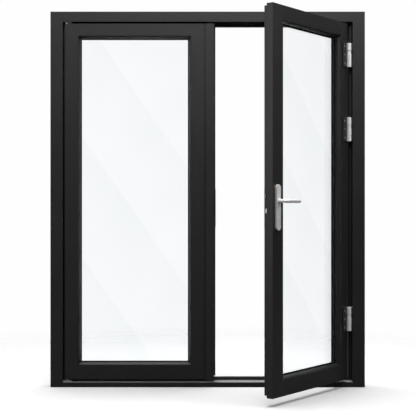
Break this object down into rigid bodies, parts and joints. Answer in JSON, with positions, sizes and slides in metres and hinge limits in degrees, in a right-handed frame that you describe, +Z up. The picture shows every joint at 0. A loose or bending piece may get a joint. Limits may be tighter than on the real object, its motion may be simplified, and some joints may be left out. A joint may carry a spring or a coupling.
{
  "type": "french doors",
  "caption": "Glazed double doors in a metal frame with a threshold; the active leaf turns on barrel hinges and has a lever handle and lock, the other carries the meeting profile.",
  "frame": {"origin": "middle of the threshold's underside", "axes": "+X to the right seen from the hinge side, +Y from the hinge side (outside) to the back, +Z up"},
  "size_m": [1.8, 0.7092, 2.15],
  "materials": {
    "powder_black": "satin black powder coat",
    "satin_silver": "satin",
    "tread_silver": "satin",
    "steel": "satin",
    "cleat_metal": "matte",
    "spacer_black": "matte",
    "seal_rubber": "matte",
    "clear_glass": "polished",
    "black_nylon": "matte"
  },
  "bodies": {
    "frame": {"jamb_left": "powder_black", "jamb_right": "powder_black", "head": "powder_black", "threshold": "powder_black", "tread_strip": "tread_silver", "frame_cleats": "cleat_metal", "frame_seal": "seal_rubber", "hinge_jamb_plates": "powder_black", "hinge_jamb_knuckles": "satin_silver", "hinge_pins": "steel", "frame_screws": "steel", "pivot_top": "steel", "pivot_bottom": "steel", "keep_top": "steel", "keep_bottom": "steel"},
    "active_leaf": {"active_hinge_stile": "powder_black", "active_lock_stile": "powder_black", "active_top_rail": "powder_black", "active_bottom_rail": "powder_black", "active_beads": "powder_black", "active_pane_outer": "clear_glass", "active_pane_inner": "clear_glass", "active_spacer": "spacer_black", "active_gaskets": "seal_rubber", "active_cleats": "cleat_metal", "hinge_leaf_wings": "powder_black", "hinge_leaf_knuckles": "satin_silver", "hinge_rings": "satin_silver", "hinge_bushes": "black_nylon", "wing_screws": "steel", "lock_case": "steel", "lock_faceplate": "powder_black", "cylinder_body": "satin_silver", "handle_plate": "satin_silver", "rear_plate": "satin_silver", "handle_screws": "steel"},
    "lever_handle": {"lever": "satin_silver", "spindle": "steel", "lock_follower": "steel"},
    "latch": {"latch_bolt": "steel"},
    "key_cylinder": {"cylinder_plug": "satin_silver"},
    "dead_bolt": {"dead_bolt": "steel"},
    "passive_leaf": {"passive_hinge_stile": "powder_black", "passive_meeting_stile": "powder_black", "passive_top_rail": "powder_black", "passive_bottom_rail": "powder_black", "passive_beads": "powder_black", "passive_pane_outer": "clear_glass", "passive_pane_inner": "clear_glass", "passive_spacer": "spacer_black", "passive_gaskets": "seal_rubber", "passive_cleats": "cleat_metal", "pivot_blocks": "steel", "false_mullion": "powder_black", "mullion_caps": "black_nylon", "mullion_seal": "seal_rubber", "strike_plate": "steel", "rod_guides": "black_nylon"},
    "top_bolt": {"shoot_bolt_top": "steel"},
    "bottom_bolt": {"shoot_bolt_bottom": "steel"}
  },
  "joints": [
    {"name": "active_leaf_swing", "type": "hinge", "parent": "frame", "child": "active_leaf", "pos_m": [0.8075, -0.0511, 1], "axis": [0, 0, 1], "range_deg": [-53, 112]},
    {"name": "passive_leaf_swing", "type": "hinge", "parent": "frame", "child": "passive_leaf", "pos_m": [-0.808, -0.0235, 1], "axis": [0, 0, -1], "range_deg": [0, 100]},
    {"name": "lever_turn", "type": "hinge", "parent": "active_leaf", "child": "lever_handle", "pos_m": [0.37459, -0.63456, 1.062], "axis": [-0.7986, 0.6018, 0], "range_deg": [0, 40], "stiffness_Nm_per_rad": 2, "springref_deg": -28.65},
    {"name": "latch_slide", "type": "slide", "parent": "active_leaf", "child": "latch", "axis": [0.6018, 0.7986, 0], "range_m": [0, 0.012]},
    {"name": "key_turn", "type": "hinge", "parent": "active_leaf", "child": "key_cylinder", "pos_m": [0.35862, -0.62252, 0.97], "axis": [-0.7986, 0.6018, 0], "range_deg": [0, 360]},
    {"name": "dead_bolt_slide", "type": "slide", "parent": "active_leaf", "child": "dead_bolt", "axis": [-0.6018, -0.7986, 0], "range_m": [0, 0.02]},
    {"name": "top_bolt_slide", "type": "slide", "parent": "passive_leaf", "child": "top_bolt", "axis": [0, 0, 1], "range_m": [0, 0.018]},
    {"name": "bottom_bolt_slide", "type": "slide", "parent": "passive_leaf", "child": "bottom_bolt", "axis": [0, 0, -1], "range_m": [0, 0.018]}
  ],
  "couplings": [
    {"joint": "latch_slide", "follows": "lever_turn", "m_per_rad": 0.017189},
    {"joint": "key_turn", "follows": "dead_bolt_slide", "rad_per_m": 314.16}
  ]
}
